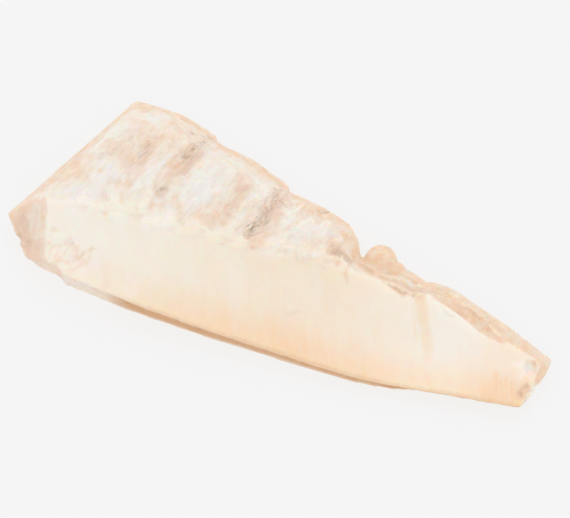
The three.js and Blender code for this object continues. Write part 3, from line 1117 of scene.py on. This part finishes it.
    def mark(self, mesh: bpy.types.Mesh, surface: Surface, zones: Zones) -> None:
        """Write the crystal's markings as point attributes.

        Args:
            mesh: the carved mesh.
            surface: the mesh's surface before it was carved.
            zones: how much each point belongs to each zone.
        """
        look, points = self.colouring, surface.points
        plan = points[:, :2]
        grain = Grain(look.blotch.at(points), look.fine.at(turned(points, self.plan.torn_grain)))
        sunk = Surface.of(mesh).sunk(look.sunk_rounds)
        marks = self.gold_and_painted_edge_shade(surface, zones, grain) | self.torn_marks(points, zones, grain, sunk)
        marks[Trace.CRACK] = brushed(self.plan.cracks, plan, grain.mixed(look.crack_wander))
        marks[Trace.FLECK] = brushed(self.plan.flecks, plan, grain.mixed(look.fleck_wander))
        marks[Trace.DRY] = surface.spread(1 - zones[Zone.SMOOTH], self.light_blur)
        for kind, values in marks.items():
            attribute = mesh.attributes.new(kind.value, "FLOAT", "POINT")
            attribute.data.foreach_set("value", np.clip(values, 0, 1).astype(np.float32))

    def gold_and_painted_edge_shade(self, surface: Surface, zones: Zones, grain: Grain) -> Marks:
        """Work out the gold of the smooth face and the painted shade and glow of the sharp edge and its wall.

        Args:
            surface: the surface before it was carved.
            zones: how much each point belongs to each zone.
            grain: the noises at the points.

        Returns:
            The two markings.
        """
        look, points = self.colouring, surface.points
        x, _, z = points.T
        plan = points[:, :2]
        smooth = zones[Zone.SMOOTH]
        to_edge = distance_to(self.plan.sharp_edge, plan)

        # The extra gold by the sharp edge is partly the stone's own tone and partly painted shade and glow
        by_edge = read_off(self.plan.gold_by_edge, x) * ease(to_edge, *look.gold_reach)
        gold = read_off(self.plan.gold_across, x) + by_edge
        gold += look.gold_clouds * look.clouds.at(turned(points, self.plan.cleavage))
        stained = brushed(self.plan.stains, plan, grain.mixed(look.stain_wander))
        gold = np.maximum(gold, look.gold_under_stain * gold + stained) * smooth

        # The wall under the sharp edge gets a painted warm shadow, paler at its foot, and the face by the
        # edge a painted shade and glow
        wall = (1 - smooth) * ease(to_edge, *look.painted_wall_shade_reach) * ease(surface.normals[:, 2], *look.painted_wall_shade_upward)
        wall *= ease(x, *look.painted_wall_shade_start) * at_least(look.painted_wall_shade_foot, ease(z, *look.painted_wall_shade_rise))
        edge = look.painted_edge_shade_strength * ease(to_edge + look.painted_edge_shade_wander * grain.fine, *look.painted_edge_shade_reach)
        edge *= read_off(self.plan.painted_edge_shade_course, x)
        return {Trace.WARMTH: gold, Trace.PAINTED_EDGE_SHADE: np.maximum(edge, wall)}

    def torn_marks(self, points: np.ndarray, zones: Zones, grain: Grain, sunk: np.ndarray) -> Marks:
        """Work out the rind, the brown hollows, the white frost and the clay.

        Args:
            points: the points before they were carved.
            zones: how much each point belongs to each zone.
            grain: the noises at the points.
            sunk: how far each point lies below the evened surface.

        Returns:
            The four markings.
        """
        look, fine = self.colouring, grain.fine
        smooth, torn = zones[Zone.SMOOTH], zones[Zone.TORN]
        ragged = self.ragged(points)
        wobble = grain.mixed(look.torn_wander)
        mottle = ease(grain.mixed(look.mottle_mix), *look.mottle)

        rind = brushed(self.plan.rind, ragged, wobble) * (1 - smooth * smooth)
        rind = np.maximum(rind, look.side_rind * zones[Zone.SIDES])
        rind = np.maximum(rind, look.torn_rind * torn * mottle)

        hollow = brushed(self.plan.hollows, ragged, wobble)
        hollow = np.maximum(hollow, brushed(self.plan.dusty, points[:, :2], wobble))
        hollow *= look.hollow_plain + look.hollow_mottled * mottle
        sunken = look.sunk_hollow * torn * ease(sunk + look.sunk_wander * fine, *look.sunk)
        hollow = np.maximum(hollow, sunken)

        crushed = brushed(self.plan.crushed, ragged, wobble) * (1.0 - look.crushed_mottled * mottle)
        proud = look.proud_frost * torn * ease(-sunk + look.sunk_wander * fine, *look.proud)
        frost = np.maximum(look.plain_frost * torn * (1 - mottle), crushed)
        frost = np.maximum(frost, proud) * (1 - look.hollow_clears * hollow)

        clay = brushed(self.plan.clay, ragged, wobble)
        clay *= at_least(look.clay_least, ease(sunk + look.clay_wander * fine, *look.clay_sunk))
        return {Trace.RIND: rind, Trace.HOLLOW: hollow, Trace.FROST: frost, Trace.CLAY: clay}


# The studio


@dataclass
class Studio:
    """The table, lights and camera, in millimetres and degrees."""

    table: BacklitTable = BacklitTable()
    table_side: float = 4000.0
    table_gap: float = 0.03
    target: tuple[float, float, float] = (0.4, -4.5, 8.0)
    azimuth: float = 17.0
    elevation: float = 70.0
    distance: float = 520.0
    focal_pixels: float = 2080.0
    image_width: int = 570
    sensor_width: float = 36.0
    wall_colour: tuple[float, float, float, float] = (1.0, 0.99, 0.985, 1.0)
    wall_strength: float = 0.96
    window_place: tuple[float, float, float] = (-180.0, 1260.0, 1560.0)
    window_side: float = 1100.0
    window_watts: float = 3.0

    def build(self) -> bpy.types.Object:
        """Build the whole studio.

        Returns:
            The table's object.
        """
        top = self.top()
        self.camera()
        self.walls()
        self.window()
        scene = bpy.context.scene
        scene.view_settings.view_transform = "Standard"
        scene.cycles.use_denoising = True
        return top

    def top(self) -> bpy.types.Object:
        """Lay the table top a hair below the blade.

        Returns:
            The table top's object.
        """
        sheet = bmesh.new()
        bmesh.ops.create_grid(sheet, x_segments=1, y_segments=1, size=self.table_side / 2 * MM)
        bmesh.ops.translate(sheet, verts=sheet.verts, vec=(0, 0, -self.table_gap * MM))
        mesh = bpy.data.meshes.new("studio_table")
        sheet.to_mesh(mesh)
        sheet.free()
        mesh.materials.append(self.table.material())
        return placed("studio_table", mesh)

    def camera(self) -> None:
        """Set the camera to the photograph's viewing angle."""
        turn, lift = math.radians(self.azimuth), math.radians(self.elevation)
        back = Vector((math.sin(turn) * math.cos(lift), -math.cos(turn) * math.cos(lift), math.sin(lift)))
        lens = bpy.data.cameras.new("studio_camera")
        lens.sensor_width = self.sensor_width
        lens.lens = self.focal_pixels * self.sensor_width / self.image_width
        camera = placed("studio_camera", lens)
        camera.location = (Vector(self.target) + back * self.distance) * MM
        camera.rotation_euler = back.to_track_quat("Z", "Y").to_euler()
        bpy.context.scene.camera = camera

    def walls(self) -> None:
        """Light the room evenly from all round."""
        world = bpy.data.worlds.new("studio_walls")
        world.use_nodes = True
        background = world.node_tree.nodes["Background"]
        background.inputs["Color"].default_value = self.wall_colour
        background.inputs["Strength"].default_value = self.wall_strength
        bpy.context.scene.world = world

    def window(self) -> None:
        """Hang a square softbox behind and above the blade, facing it."""
        lamp = bpy.data.lights.new("studio_window", "AREA")
        lamp.size = self.window_side * MM
        lamp.energy = self.window_watts
        light = placed("studio_window", lamp)
        light.location = Vector(self.window_place) * MM
        light.rotation_euler = Vector(self.window_place).to_track_quat("Z", "Y").to_euler()


def main() -> None:
    """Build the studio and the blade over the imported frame."""
    logging.basicConfig(level=logging.INFO, format="%(name)s: %(message)s")
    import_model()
    Studio().build()
    blade = SeleniteBlade().build()
    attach(blade, "root")
    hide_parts("selenite_blade")
    LOG.info("%s: %d faces, %d points", blade.name, len(blade.data.polygons), len(blade.data.vertices))


if __name__ == "__main__":
    main()
